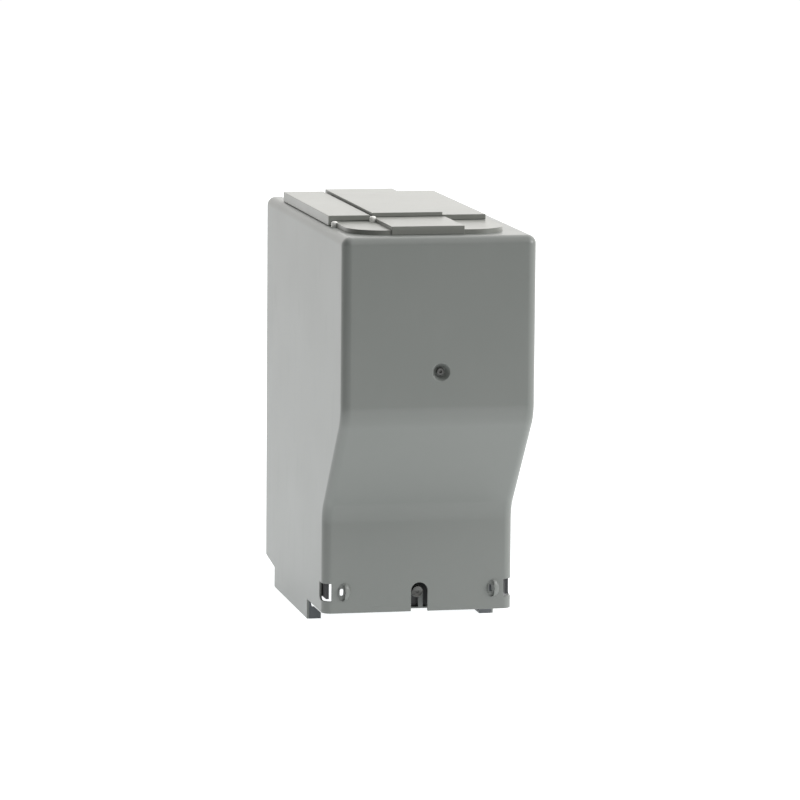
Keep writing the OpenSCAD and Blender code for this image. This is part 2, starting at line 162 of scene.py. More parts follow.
# %% [markdown]
# The cover, plates, shutters, feet and levers are injection moulded. Their tools are spark
# eroded, which leaves a fine even grain that breaks up highlights, and large mouldings cool
# unevenly, so their tone drifts a little. Handling leaves a faint film that changes the gloss
# before it changes the colour. One recipe makes them all, with its own colours and gloss. The
# entry plate's plastic is the cover's made paler, painted light for its lit top faces, and the
# levers' near black is partly their own colour and partly painted shade.

# %% Moulded plastics
def moulded(name, shade, pale, gloss, grain=0.02):
    material, tree = new_finish(name)
    where = tree.place()
    drift = tree.noise(where, 9.0, 4.0)
    speck = tree.noise(where, 900.0, 2.0)
    scuff = tree.spread(tree.noise(tree.place((1, 1, 0.3)), 60.0, 6.0), 0.55, 0.75)
    pits = tree.node("ShaderNodeTexVoronoi", values={"Vector": where, "Scale": 1400.0})
    film = tree.between(drift, (*shade, 1), (*pale, 1))
    colour = tree.between(speck * 0.25 + scuff * 0.06, film, (*[c * 1.15 for c in pale], 1))
    tree.finish(
        Base_Color=colour,
        Roughness=gloss + 0.07 * drift + 0.03 * scuff,
        Specular_IOR_Level=0.5,
        Normal=tree.bump(pits + 0.6 * speck, grain),
    )
    return material


FINISH = {
    "cover_plastic": moulded("cover_plastic", (0.17, 0.183, 0.172), (0.19, 0.2, 0.19), 0.3),
    # Entry plastic: the cover's plastic painted paler, painted light for the lit top faces of the
    # entry plate and tongue.
    "entry_plastic": moulded("entry_plastic", (0.205, 0.213, 0.196), (0.24, 0.246, 0.226), 0.3),
    "keeper_plastic": moulded("keeper_plastic", (0.03, 0.032, 0.034), (0.045, 0.048, 0.05), 0.4),
    "dark_foot": moulded("dark_foot", (0.075, 0.082, 0.09), (0.11, 0.12, 0.128), 0.42, 0.03),
    "post_plastic": moulded("post_plastic", (0.13, 0.14, 0.135), (0.17, 0.18, 0.175), 0.38),
    # Latch plastic: nearly black, partly the levers' own dark plastic and partly painted shade for
    # the shadow inside the cover's corners.
    "latch_plastic": moulded("latch_plastic", (0.012, 0.013, 0.015), (0.03, 0.032, 0.035), 0.45),
    "nylon": moulded("nylon", (0.8, 0.8, 0.77), (0.88, 0.88, 0.85), 0.28, 0.008),
}
print("moulded finishes:", len(FINISH))

# %% [markdown]
# The metal parts are sheet, wire, turned bar and extrusion. Zinc plating is never one even
# grey: it has cloudy patches, rolled sheet keeps the long scratches of its mill, and a turned
# or extruded part keeps tool marks along its travel. The recipe stretches one noise along
# the direction of working and lays clouds over it, so the gloss varies more than the colour.

# %% Metals
def metal(name, shade, pale, gloss, along=(1, 1, 1), marks=0.01, fine=700.0):
    material, tree = new_finish(name)
    where = tree.place()
    cloud = tree.noise(where, 45.0, 5.0)
    scratch = tree.noise(tree.place(along), fine, 4.0)
    stain = tree.spread(tree.noise(where, 160.0, 3.0), 0.58, 0.7)
    base = tree.between(cloud, (*shade, 1), (*pale, 1))
    colour = tree.between(stain * 0.3 + scratch * 0.15, base, (*[c * 0.7 for c in shade], 1))
    tree.finish(
        Base_Color=colour,
        Metallic=1.0,
        Roughness=gloss + 0.16 * scratch + 0.1 * cloud,
        Normal=tree.bump(scratch, marks),
    )
    return material


MOULDED_COUNT = len(FINISH)
FINISH["seal_steel"] = metal("seal_steel", (0.11, 0.112, 0.11), (0.21, 0.21, 0.2), 0.36, (1, 0.2, 1))
FINISH["spring_steel"] = metal("spring_steel", (0.22, 0.23, 0.26), (0.36, 0.37, 0.4), 0.22)
FINISH["zinc_steel"] = metal("zinc_steel", (0.46, 0.47, 0.5), (0.62, 0.63, 0.62), 0.24)
FINISH["jaw_copper"] = metal("jaw_copper", (0.6, 0.34, 0.2), (0.74, 0.48, 0.3), 0.2, (1, 0.15, 1))
FINISH["lug_alloy"] = metal("lug_alloy", (0.6, 0.61, 0.62), (0.76, 0.77, 0.78), 0.26, (1, 1, 0.08))
FINISH["ground_green"] = metal("ground_green", (0.1, 0.34, 0.15), (0.2, 0.48, 0.24), 0.25)
print("metal finishes:", len(FINISH) - MOULDED_COUNT)

# %% [markdown]
# The back plate is hot-dip galvanised, and its zinc froze in flat crystals, the spangle. A
# Voronoi texture gives each crystal its own tone and gloss. The arms and the cross bar wear
# a black powder coat instead, whose surface dries with the soft ripple called orange peel.

# %% Galvanised and powder-coated sheet
def galvanised(name):
    material, tree = new_finish(name)
    where = tree.place()
    wobble = tree.noise(where, 120.0, 3.0)
    flakes = tree.node("ShaderNodeTexVoronoi", values={"Vector": where, "Scale": 110.0}, out="Color")
    split = tree.node("ShaderNodeSeparateColor", values={"Color": flakes})
    rust = tree.spread(tree.noise(where, 35.0, 6.0), 0.66, 0.78)
    zinc = tree.between(split * 0.7 + wobble * 0.3, (0.25, 0.262, 0.275, 1), (0.4, 0.415, 0.43, 1))
    tree.finish(
        Base_Color=tree.between(rust * 0.35, zinc, (0.5, 0.5, 0.49, 1)),
        Metallic=1 - 0.4 * rust,
        Roughness=0.28 + 0.2 * split + 0.2 * rust,
        Normal=tree.bump(wobble + 0.5 * split, 0.02),
    )
    return material


def powder_coat(name):
    material, tree = new_finish(name)
    where = tree.place()
    peel = tree.noise(where, 320.0, 2.0)
    dust = tree.spread(tree.noise(where, 24.0, 6.0), 0.5, 0.8)
    tree.finish(
        Base_Color=tree.between(dust * 0.5, (0.016, 0.017, 0.019, 1), (0.06, 0.062, 0.064, 1)),
        Roughness=0.34 + 0.2 * dust + 0.08 * peel,
        Normal=tree.bump(peel, 0.06),
    )
    return material


FINISH["zinc_sheet"] = galvanised("zinc_sheet")
FINISH["dark_sheet"] = powder_coat("dark_sheet")
print("sheet finishes: zinc_sheet, dark_sheet")

# %% [markdown]
# The socket block is pressed from black phenolic, a resin full of ground mineral that shows as
# pale specks. The barriers between the phases are vulcanised fibre board, a tan sheet with
# its fibres lying along it. Both are matt, so the colour carries more of the look.

# %% Insulators
def speckled(name, ground, mineral, fibres, gloss, density):
    material, tree = new_finish(name)
    where = tree.place(fibres)
    fine = tree.noise(where, 520.0, 4.0)
    broad = tree.noise(tree.place(), 14.0, 4.0)
    fleck = tree.spread(fine, density, density + 0.1)
    tree.finish(
        Base_Color=tree.between(fleck * 0.6 + broad * 0.15, (*ground, 1), (*mineral, 1)),
        Roughness=gloss + 0.12 * broad + 0.1 * fleck,
        Normal=tree.bump(fine, 0.03),
    )
    return material


FINISH["insulator"] = speckled(
    "insulator", (0.012, 0.012, 0.013), (0.14, 0.14, 0.14), (1, 1, 1), 0.36, 0.62
)
FINISH["barrier_sheet"] = speckled(
    "barrier_sheet", (0.5, 0.42, 0.28), (0.68, 0.62, 0.48), (1, 1, 0.12), 0.6, 0.45
)
print("finishes in all:", sorted(FINISH))

# %% [markdown]
# The object stands on a pale light table, so almost no shadow falls and its glow shows through
# every opening near the floor. The table lights the underside of each slope. The room is bright
# behind and to the right and dim to the left and in front: the side and the top catch the bright
# back of the room at a low angle, while the left front corner stays dark.

# %% Floor and room
TABLE = {"left": -1.1, "right": 2.4, "front": -1.5, "back": 7.0}
floor_mesh = bpy.data.meshes.new("floor")
across, along = (TABLE["left"], TABLE["right"]), (TABLE["front"], TABLE["back"])
corners = [(across[i], along[j], 0) for i, j in ((0, 0), (1, 0), (1, 1), (0, 1))]
floor_mesh.from_pydata(corners, [], [(0, 1, 2, 3)])
floor = bpy.data.objects.new("floor", floor_mesh)
bpy.context.scene.collection.objects.link(floor)
paper, tree = new_finish("floor_paper")
tone = tree.noise(tree.place(), 3.0, 3.0)
tree.finish(
    Base_Color=tree.between(tone, (0.33, 0.33, 0.327, 1), (0.37, 0.37, 0.367, 1)),
    Roughness=0.8 + 0.1 * tone,
    Emission_Color=(0.97, 0.99, 1, 1),
    Emission_Strength=1.0,
)
floor_mesh.materials.append(paper)

world = bpy.data.worlds.new("room")
world.use_nodes = True
bpy.context.scene.world = world
tree = Tree(world.node_tree)
heading = tree.node("ShaderNodeTexCoord", out="Generated")
sideways = tree.node("ShaderNodeSeparateXYZ", values={"Vector": heading}, out="X")
depth = tree.node("ShaderNodeSeparateXYZ", values={"Vector": heading}, out="Y")
DIM, RIGHT, BEHIND, BACKDROP = 0.04, 0.85, 1.4, 1.05
WARM_WHITE = (1, 0.985, 0.965, 1)
from_right = tree.spread(sideways, -0.1, 0.9, 0.0, RIGHT)
room = DIM + from_right + tree.spread(depth, 0.0, 0.85, 0.0, BEHIND)
seen = tree.node("ShaderNodeLightPath", out="Is Camera Ray")
strength = seen * BACKDROP + (1 - seen) * room
glow = tree.node("ShaderNodeBackground", values={"Color": WARM_WHITE, "Strength": strength})
tree.node("ShaderNodeOutputWorld", values={"Surface": glow})
bpy.context.scene.view_settings.view_transform = "Standard"
print("light table", across[1] - across[0], "m across")

# %% Soft lights
sky = bpy.data.lights.new("overhead", "SUN")
sky.energy = 1.95
sky.angle = math.radians(100)
sky_holder = bpy.data.objects.new("overhead", sky)
sky_holder.rotation_euler = Vector((-0.3, 0.2, -1)).to_track_quat("-Z", "Y").to_euler()
bpy.context.scene.collection.objects.link(sky_holder)
LIGHTS = {
    "right_soft": {"place": (2.7, -1.3, 1.4), "size": 1.0, "power": 34},
}
for name, light in LIGHTS.items():
    lamp = bpy.data.lights.new(name, "AREA")
    lamp.shape = "SQUARE"
    lamp.size = light["size"]
    lamp.energy = light["power"]
    holder = bpy.data.objects.new(name, lamp)
    holder.location = light["place"]
    aim = Vector((0, 0, 0.2)) - holder.location
    holder.rotation_euler = aim.to_track_quat("-Z", "Y").to_euler()
    bpy.context.scene.collection.objects.link(holder)
print("lights:", list(LIGHTS))

# %% [markdown]
# Shapes are drawn with bmesh, Blender's mesh toolkit. A loft joins rows of points with quads,
# a lathe turns a profile about an axis, and a prism pushes an outline along X or Y. A cutter
# made in the same way is taken away with an exact Boolean. Soften rounds the sharp edges
# slightly, as every real edge is, and ends with shade, which clears the leftovers of cuts and
# weights the normals so flat faces stay flat.

# %% Shape helpers
def new_object(name, bm, merge=True):
    if merge:
        bmesh.ops.remove_doubles(bm, verts=bm.verts, dist=1e-6)
        bmesh.ops.recalc_face_normals(bm, faces=bm.faces)
    mesh = bpy.data.meshes.new(name)
    bm.to_mesh(mesh)
    bm.free()
    made = bpy.data.objects.new(name, mesh)
    bpy.context.scene.collection.objects.link(made)
    return made


def loft(bm, rows, closed=False):
    rings = [[bm.verts.new(Vector(point) * MM) for point in row] for row in rows]
    for low, high in zip(rings, rings[1:]):
        for i in range(len(low) if closed else len(low) - 1):
            j = (i + 1) % len(low)
            bm.faces.new((low[i], low[j], high[j], high[i]))
    return rings


def turn_to(axis, across, up, along):
    return {"X": (along, across, up), "Y": (across, along, up), "Z": (across, up, along)}[axis]


def lathe(bm, profile, centre=(0, 0, 0), axis="Y", sides=48):
    rows = []
    for radius, along in profile:
        ring = []
        for i in range(sides):
            angle = 2 * math.pi * i / sides
            spot = turn_to(axis, radius * math.cos(angle), radius * math.sin(angle), along)
            ring.append(Vector(spot) + Vector(centre))
        rows.append(ring)
    rings = loft(bm, rows, closed=True)
    for ring, (radius, along) in ((rings[0], profile[0]), (rings[-1], profile[-1])):
        if radius > 0.001:
            bm.faces.new(ring)


def prism(bm, outline, low, high, axis="Y"):
    rows = [[turn_to(axis, u, v, along) for u, v in outline] for along in (low, high)]
    near, far = loft(bm, rows, closed=True)
    bm.faces.new(near)
    bm.faces.new(far)


def block(bm, low, high):
    outline = [(low[0], low[2]), (high[0], low[2]), (high[0], high[2]), (low[0], high[2])]
    prism(bm, outline, low[1], high[1])


def arc(centre, radius, start, stop, steps):
    angles = [math.radians(start + (stop - start) * i / steps) for i in range(steps + 1)]
    return [(centre[0] + radius * math.cos(a), centre[1] + radius * math.sin(a)) for a in angles]


def combine(target, tool, operation):
    cut = target.modifiers.new("combine", "BOOLEAN")
    cut.operation = operation
    cut.solver = "EXACT"
    cut.object = tool
    bake(target)
    bpy.data.objects.remove(tool)


def bake(target):
    graph = bpy.context.evaluated_depsgraph_get()
    mesh = bpy.data.meshes.new_from_object(target.evaluated_get(graph))
    target.modifiers.clear()
    target.data = mesh


def shade(target, sharp=50):
    """Clears leftovers of a cut or bevel, and shades gentle turns smooth and hard edges crisp."""
    bm = bmesh.new()
    bm.from_mesh(target.data)
    bmesh.ops.remove_doubles(bm, verts=bm.verts, dist=2e-6)
    bmesh.ops.dissolve_degenerate(bm, edges=bm.edges, dist=2e-6)
    bm.to_mesh(target.data)
    bm.free()
    for face in target.data.polygons:
        face.use_smooth = True
    target.data.set_sharp_from_angle(angle=math.radians(sharp))
    normals = target.modifiers.new("normals", "WEIGHTED_NORMAL")
    normals.keep_sharp = True
    bake(target)


def soften(target, width, segments=2, angle=35):
    edges = target.modifiers.new("edges", "BEVEL")
    edges.width = width * MM
    edges.segments = segments
    edges.limit_method = "ANGLE"
    edges.angle_limit = math.radians(angle)
    edges.miter_outer = "MITER_ARC"
    bake(target)
    shade(target)


def mount(target, node, *others):
    """Gives a finished piece its finish and its body, and lets it stand for its CAD nodes."""
    target.data.materials.clear()
    target.data.materials.append(FINISH[SLOT_OF[node]])
    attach(target, BODY_OF[node])
    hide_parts(node, *others)
    print(target.name, "faces:", len(target.data.polygons))


print("shape helpers ready")

# %% [markdown]
# The cover is the piece that everybody sees: a deep box whose front drops straight, leans
# back, and drops again. It could be a sculpted cube, but its shape follows a rule, so it is
# lofted: each height has one plan section with round corners, and a list of heights and
# fronts drives them. The same rule, moved inwards by the wall, gives the inside.

# %% Cover profile
LOW, HIGH = [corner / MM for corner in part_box("cover_shell")]
HALF, FRONT, BACK, TOP = HIGH.x, LOW.y, HIGH.y, HIGH.z
WALL = 2.5
EDGE, EDGE_STEPS = 9.0, 12
CORNER = 10.0
STEP = 95.0
SLOPE_TOP, SLOPE_LOW = 236.0, 127.0
BEND = 34.0
LOWER_FRONT = FRONT + STEP
BEND_SHIFT = (math.hypot(STEP, SLOPE_TOP - SLOPE_LOW) - (SLOPE_TOP - SLOPE_LOW)) / STEP


def bend(before, corner, after, radius, steps=10):
    towards, onward = (before - corner).normalized(), (after - corner).normalized()
    half = towards.angle(onward) / 2
    centre = corner + (towards + onward).normalized() * (radius / math.sin(half))
    first = corner + towards * (radius / math.tan(half)) - centre
    last = corner + onward * (radius / math.tan(half)) - centre
    sweep = first.angle_signed(last)
    return [centre + Matrix.Rotation(-sweep * i / steps, 2) @ first for i in range(steps + 1)]


def front_line(inset):
    shift = BEND_SHIFT * inset
    upper = Vector((FRONT + inset, SLOPE_TOP + shift))
    lower = Vector((LOWER_FRONT + inset, SLOPE_LOW + shift))
    line = [Vector((lower.x, 0))]
    line += bend(line[0], lower, upper, BEND + inset)
    line += bend(lower, upper, Vector((upper.x, TOP)), BEND - inset)
    return line


print("front profile points:", len(front_line(0)))


# %% Cover sections
def section(half, front, height, corner):
    left = arc((-half + corner, front + corner), corner, 180, 270, 10)
    right = arc((half - corner, front + corner), corner, 270, 360, 10)
    plan = [(-half, BACK), *left, *right, (half, BACK)]
    return [(x, y, height) for x, y in plan]


def cover_surface(inset):
    edge, half, corner = EDGE - inset, HALF - inset, CORNER - inset
    rows = [section(half, front, height, corner) for front, height in front_line(inset)]
    for i in range(EDGE_STEPS + 1):
        angle = math.radians(90 * i / EDGE_STEPS)
        pull = edge * (1 - math.cos(angle))
        height = TOP - inset - edge * (1 - math.sin(angle))
        rows.append(section(half - pull, FRONT + inset + pull, height, corner - pull))
    return rows


bm = bmesh.new()
outer = loft(bm, cover_surface(0))
inner = loft(bm, cover_surface(WALL))
bm.faces.new(outer[-1])
bm.faces.new(inner[-1])
for i in range(len(outer) - 1):
    for side in (0, -1):
        bm.faces.new((outer[i][side], outer[i + 1][side], inner[i + 1][side], inner[i][side]))
for i in range(len(outer[0]) - 1):
    bm.faces.new((outer[0][i], outer[0][i + 1], inner[0][i + 1], inner[0][i]))
bm.faces.new((outer[-1][0], outer[-1][-1], inner[-1][-1], inner[-1][0]))
cover = new_object("cover_moulding", bm)
print("cover loft:", len(cover.data.polygons), "faces")

# %% [markdown]
# Behind the front wall the moulding has a thick boss for the centre seal screw. It is joined on
# as a solid that reaches a little into the wall, and only then are the openings cut, so that
# one cut goes through wall and boss together.

# %% Centre boss
SEAL_X, SEAL_Z = 1.6, 283.0
bosses = bmesh.new()
lathe(bosses, [(12, FRONT + 1), (12, FRONT + 10), (11, FRONT + 11)], (SEAL_X, 0, SEAL_Z))
combine(cover, new_object("bosses", bosses), "UNION")
print("cover with its boss:", len(cover.data.polygons), "faces")

# %% [markdown]
# The cuts come next: the dish that sinks the centre screw, the arch that lets a driver reach
# the lower screw, the corner windows over the latches, the stepped bottom edge, and the cable
# slot in the top. The edges are rounded when the large shapes are done, because a bevel may be
# no wider than the smallest face beside it, and small details would pinch it everywhere.

# %% Cover openings
NOTCH_WIDTH, NOTCH_TOP = 17.4, 51.2
BOTTOM = 21.0
TONGUE_FRONT, TONGUE_BACK = -29.0, 159.0
TAIL_LOW, TAIL_HIGH = 21.5, 27.0
SLOT = {"left": -84.0, "right": 66.0, "front": -84.0}
WINDOW = {"inner": 90.6, "low": 33.8, "high": 52.0, "deep": 19.0, "round": 6.0}

cuts = bmesh.new()
dish = [(9.6, FRONT - 0.5), (9.1, FRONT), (8.3, FRONT + 1.6), (6.9, FRONT + 4.6)]
dish += [(6.0, FRONT + 6.2), (5.5, FRONT + 6.8), (5, FRONT + 7), (2.3, FRONT + 7)]
dish += [(2.3, FRONT + 20)]
lathe(cuts, dish, (SEAL_X, 0, SEAL_Z), sides=64)
arch_z = NOTCH_TOP - NOTCH_WIDTH / 2
arch = arc((SEAL_X, arch_z), NOTCH_WIDTH / 2, 0, 180, 24)
arch += [(SEAL_X - NOTCH_WIDTH / 2, -5), (SEAL_X + NOTCH_WIDTH / 2, -5)]
prism(cuts, arch, LOWER_FRONT - 3, LOWER_FRONT + WALL + 3)
slant = (TAIL_HIGH - TAIL_LOW) / (BACK - TONGUE_BACK)
beyond = 10
tail = [(TONGUE_BACK, -5), (BACK + beyond, -5)]
tail += [(BACK + beyond, TAIL_HIGH + beyond * slant), (TONGUE_BACK, TAIL_LOW)]
prism(cuts, tail, -HALF - 5, HALF + 5, "X")
combine(cover, new_object("openings", cuts), "DIFFERENCE")

slots = bmesh.new()
block(slots, (SLOT["left"], SLOT["front"], TOP - 8), (SLOT["right"], BACK + 5, TOP + 5))
block(slots, (-HALF - 5, FRONT - 5, -5), (HALF + 5, TONGUE_FRONT, BOTTOM))
for side in (-1, 1):
    front, rear, radius = LOWER_FRONT - 3, LOWER_FRONT + WINDOW["deep"], WINDOW["round"]
    rounded = arc((rear - radius, WINDOW["low"] + radius), radius, 270, 360, 8)
    opening = [(front, WINDOW["low"]), *rounded, (rear, WINDOW["high"]), (front, WINDOW["high"])]
    edges = sorted((side * WINDOW["inner"], side * (HALF + 3)))
    prism(slots, opening, *edges, "X")
combine(cover, new_object("slots", slots), "DIFFERENCE")
soften(cover, 0.5)

# %% [markdown]
# Low on the front two oval lugs stand out for the seal wires, each with an upright groove and a
# slot through the wall. A lug is a shallow dome, so a short curved profile on a lathe makes it,
# squeezed sideways into an oval. The groove lies a little to the left of the lug's middle.

# %% Seal lugs
EYE_X, EYE_Z = 78.6, 43.0
LUG_SQUEEZE, LUG_SHIFT, SLOT_SHIFT = 0.72, 0.9, -1.5
GROOVE = {"radius": 2.8, "stretch": 6.0, "depth": 0.9}
WIRE_SLOT = {"radius": 2.0, "stretch": 1.75}
DOME = [(9.4, 1.0), (9.2, 0), (8.9, -0.8), (8.3, -1.7), (7.3, -2.6)]
DOME += [(6.0, -3.3), (4.2, -3.9), (2.2, -4.15), (0, -4.2)]


def stadium(centre, radius, stretch, steps=12):
    high = arc((centre[0], centre[1] + stretch), radius, 0, 180, steps)
    low = arc((centre[0], centre[1] - stretch), radius, 180, 360, steps)
    return high + low


def lug_dome(middle):
    dome = bmesh.new()
    lathe(dome, [(r, LOWER_FRONT + y) for r, y in DOME], (0, 0, EYE_Z), sides=64)
    bmesh.ops.scale(dome, vec=(LUG_SQUEEZE, 1, 1), verts=dome.verts)
    bmesh.ops.translate(dome, vec=(middle * MM, 0, 0), verts=dome.verts)
    return new_object("dome", dome)


grooves, slots = bmesh.new(), bmesh.new()
for side in (-1, 1):
    combine(cover, lug_dome(side * EYE_X + LUG_SHIFT), "UNION")
    centre = (side * EYE_X + SLOT_SHIFT, EYE_Z)
    groove = stadium(centre, GROOVE["radius"], GROOVE["stretch"])
    prism(grooves, groove, LOWER_FRONT - 6, LOWER_FRONT + GROOVE["depth"])
    slot = stadium(centre, WIRE_SLOT["radius"], WIRE_SLOT["stretch"])
    prism(slots, slot, LOWER_FRONT - 5, LOWER_FRONT + 5)
combine(cover, new_object("grooves", grooves), "DIFFERENCE")
combine(cover, new_object("eye_slots", slots), "DIFFERENCE")
shade(cover, 40)
mount(cover, "cover_shell")

# %% [markdown]
# Many parts are plain in form, a folded bracket or a moulded clip, and the frame has their
# exact shape. What it lacks is what a tool leaves: no edge of a real part is sharp. Their
# faces are taken over, flat neighbours are joined so that the bevel runs along real edges
# only, and each part gets the edge that its own process gives it.

# %% Dressed parts
def cad_copy(node, name):
    bm = bmesh.new()
    bm.from_mesh(frame["nodes"][node].data)
    bmesh.ops.remove_doubles(bm, verts=bm.verts, dist=1e-5)
    bmesh.ops.dissolve_limit(bm, angle_limit=math.radians(1), verts=bm.verts, edges=bm.edges)
    return new_object(name, bm, merge=False)


def dress(node, width, segments=2):
    part = cad_copy(node, node + "_finished")
    soften(part, width, segments)
    mount(part, node)


MOULDED_EDGES = {
    "left_foot": 0.5, "right_foot": 0.5, "left_shutter": 0.7, "right_shutter": 0.7,
    "left_keeper": 0.5, "right_keeper": 0.5, "lower_post": 0.4, "socket_block": 0.7,
    "neutral_insulator": 0.6, "phase_barriers": 0.25,
}
for node, width in MOULDED_EDGES.items():
    dress(node, width)

# %% [markdown]
# The chassis is folded and punched from sheet, the jaws are blanked from copper strip, and the
# lugs are sawn from an extruded bar and tumbled. A fold is round on its outside and a blanked
# edge is only just broken, so the widths differ: half a millimetre on the sheet, less on strip.

# %% Metal edges
METAL_EDGES = {
    "back_plate": 0.5, "left_arm": 0.5, "right_arm": 0.5, "cross_bar": 0.5,
    "left_line_jaw": 0.25, "right_line_jaw": 0.25, "left_load_jaw": 0.25, "right_load_jaw": 0.25,
    "jaw_springs": 0.2, "line_lugs": 0.6, "load_lugs": 0.6, "neutral_bar": 0.4, "ground_lug": 0.5,
}
for node, width in METAL_EDGES.items():
    dress(node, width)

# %% [markdown]
# The raised entry plate frames the cable slot. Its front corners are large quarter circles,
# too visible for the few straight steps of a CAD mesh, so the plate is drawn again as one
# outline with fine arcs, and the two cable windows and the stud's hole are cut.

# %% Entry plate
low, high = [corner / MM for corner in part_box("entry_plate")]
FRONT_ROUND, BACK_ROUND = 38.0, 6.0
outline = arc((low.x + FRONT_ROUND, low.y + FRONT_ROUND), FRONT_ROUND, 180, 270, 32)
outline += arc((high.x - FRONT_ROUND, low.y + FRONT_ROUND), FRONT_ROUND, 270, 360, 32)
outline += arc((high.x - BACK_ROUND, high.y - BACK_ROUND), BACK_ROUND, 0, 90, 8)
outline += arc((low.x + BACK_ROUND, high.y - BACK_ROUND), BACK_ROUND, 90, 180, 8)
bm = bmesh.new()
prism(bm, outline, low.z, high.z, "Z")
plate = new_object("entry_frame", bm)
STUDS = {"left": (-88.4, -106.5, TOP), "right": (-48.6, -106.5, high.z)}
STUD_RADIUS = 3.3
HOLE_RADIUS = STUD_RADIUS + 0.4
BRIDGE = (-56.0, -42.0)
WINDOW_LENGTH = 226.0
WINDOW_BACK = SLOT["front"] + WINDOW_LENGTH
cuts = bmesh.new()
for edges in ((SLOT["left"], BRIDGE[0]), (BRIDGE[1], SLOT["right"])):
    block(cuts, (edges[0], SLOT["front"], TOP - 5), (edges[1], WINDOW_BACK, high.z + 5))
hole = [(HOLE_RADIUS, TOP - 5), (HOLE_RADIUS, high.z + 5)]
lathe(cuts, hole, (*STUDS["left"][:2], 0), "Z")
combine(plate, new_object("windows", cuts), "DIFFERENCE")
soften(plate, 0.8, 3)
mount(plate, "entry_plate")
dress("guide_tongue", 0.8, 3)

# %% [markdown]
# Two white nylon studs stop the shutters. Nylon flows well, so a moulded stud has a smooth
# dome instead of a chamfer, and a small pit in its middle where the mould was filled. One
# lathe profile gives both.

# %% Stop studs
bm = bmesh.new()
for x, y, foot in STUDS.values():
    dome = [(STUD_RADIUS, foot), (STUD_RADIUS, foot + 4.3), (3.15, foot + 4.9), (2.8, foot + 5.4)]
    dome += [(2.2, foot + 5.8), (1.2, foot + 6.0), (0.8, foot + 5.98), (0.6, foot + 5.7)]
    dome += [(0, foot + 5.65)]
    lathe(bm, dome, (x, y, 0), "Z")
studs = new_object("nylon_studs", bm)
soften(studs, 0.1, 1, 60)
mount(studs, "stop_studs")

# %% [markdown]
# Screws, rivets and ribs repeat, so they come from Geometry Nodes: one part is made, a
# grid of points says where it goes, and an instance lands on every point. The tree is built
# here once, with its counts, steps and start as named inputs, so one tree serves them all.
# Instances are made real at the end, because an instance has no mesh of its own.

# %% A tree that repeats a part
def open_tree(name, plan):
    """Starts a Geometry Nodes tree, and returns it with a wire for each of its named inputs."""
    group = bpy.data.node_groups.new(name, "GeometryNodeTree")
    tree = Tree(group)
    for label, kind in plan.items():
        group.interface.new_socket(label, in_out="INPUT", socket_type="NodeSocket" + kind)
    group.interface.new_socket("Geometry", in_out="OUTPUT", socket_type="NodeSocketGeometry")
    source = group.nodes.new("NodeGroupInput")
    return group, tree, {label: Wire(tree, source.outputs[label]) for label in plan}


def close_tree(tree, given, shape):
    """Ends a tree: its instances are made real and get their material."""
    real = tree.node("GeometryNodeRealizeInstances", values={"Geometry": shape})
    sockets = {"Geometry": real, "Material": given["Material"]}
    painted = tree.node("GeometryNodeSetMaterial", values=sockets)
    tree.node("NodeGroupOutput", values={"Geometry": painted})


def repeat_tree():
    plan = {
        "Part": "Object", "Count across": "Int", "Count up": "Int", "Start": "Vector",
        "Step across": "Vector", "Step up": "Vector", "Material": "Material",
    }
    group, tree, given = open_tree("repeat_part", plan)
    sockets = {"Count": given["Count across"], "Start Location": given["Start"]}
    row = tree.node("GeometryNodeMeshLine", values={**sockets, "Offset": given["Step across"]})
    sockets = {"Count": given["Count up"], "Offset": given["Step up"]}
    column = tree.node("GeometryNodeMeshLine", values=sockets)
    info = tree.node("GeometryNodeObjectInfo", values={"Object": given["Part"]}, out="Geometry")
    stack = tree.node("GeometryNodeInstanceOnPoints", values={"Points": column, "Instance": info})
    grid = tree.node("GeometryNodeInstanceOnPoints", values={"Points": row, "Instance": stack})
    close_tree(tree, given, grid)
    return group


REPEAT = repeat_tree()


def run_tree(name, group, **given):
    """Runs a tree on an empty object and returns the result as a plain mesh."""
    holder = bpy.data.objects.new(name, bpy.data.meshes.new(name))
    bpy.context.scene.collection.objects.link(holder)
    nodes = holder.modifiers.new("tree", "NODES")
    nodes.node_group = group
    items = group.interface.items_tree
    key = {item.name: item.identifier for item in items if item.in_out == "INPUT"}
    for label, value in given.items():
        nodes[key[label.replace("_", " ")]] = value
    bake(holder)
    return holder


def repeat(name, node, part, counts, start, across, up=(0, 0, 0)):
    """Repeats a part over a grid, in millimetres, and lets the result stand for a CAD node."""
    made = run_tree(
        name,
        REPEAT,
        Part=part,
        Count_across=counts[0],
        Count_up=counts[1],
        Start=[value * MM for value in start],
        Step_across=[value * MM for value in across],
        Step_up=[value * MM for value in up],
        Material=FINISH[SLOT_OF[node]],
    )
    bpy.data.objects.remove(part)
    mount(made, node)


print("tree inputs:", [item.name for item in REPEAT.interface.items_tree])

# %% [markdown]
# The block is held by pan-head screws, the neutral wires by small slotted ones, and the big
# cables by headless screws with a hexagon socket. Each is a lathe profile of its own head and
# a cut for the driver: a slot is a thin block and a socket is a six-sided prism.

# %% Screws and rivets
def driver_slot(screw, face, depth, radius, width):
    cut = bmesh.new()
    block(cut, (-radius - 1, face - 1, -width / 2), (radius + 1, face + depth, width / 2))
    combine(screw, new_object("slot", cut), "DIFFERENCE")


def turned(name, profile):
    bm = bmesh.new()
    lathe(bm, profile, sides=40)
    return new_object(name, bm)


def pan_head(radius, face, seat, shank, tip):
    crown = (seat - face) * 0.45
    profile = [(0, face), (radius * 0.55, face + 0.08)]
    profile += [(radius * 0.85, face + crown * 0.4), (radius, face + crown)]
    return [*profile, (radius, seat), (shank, seat), (shank, tip - 0.6), (shank - 0.6, tip)]


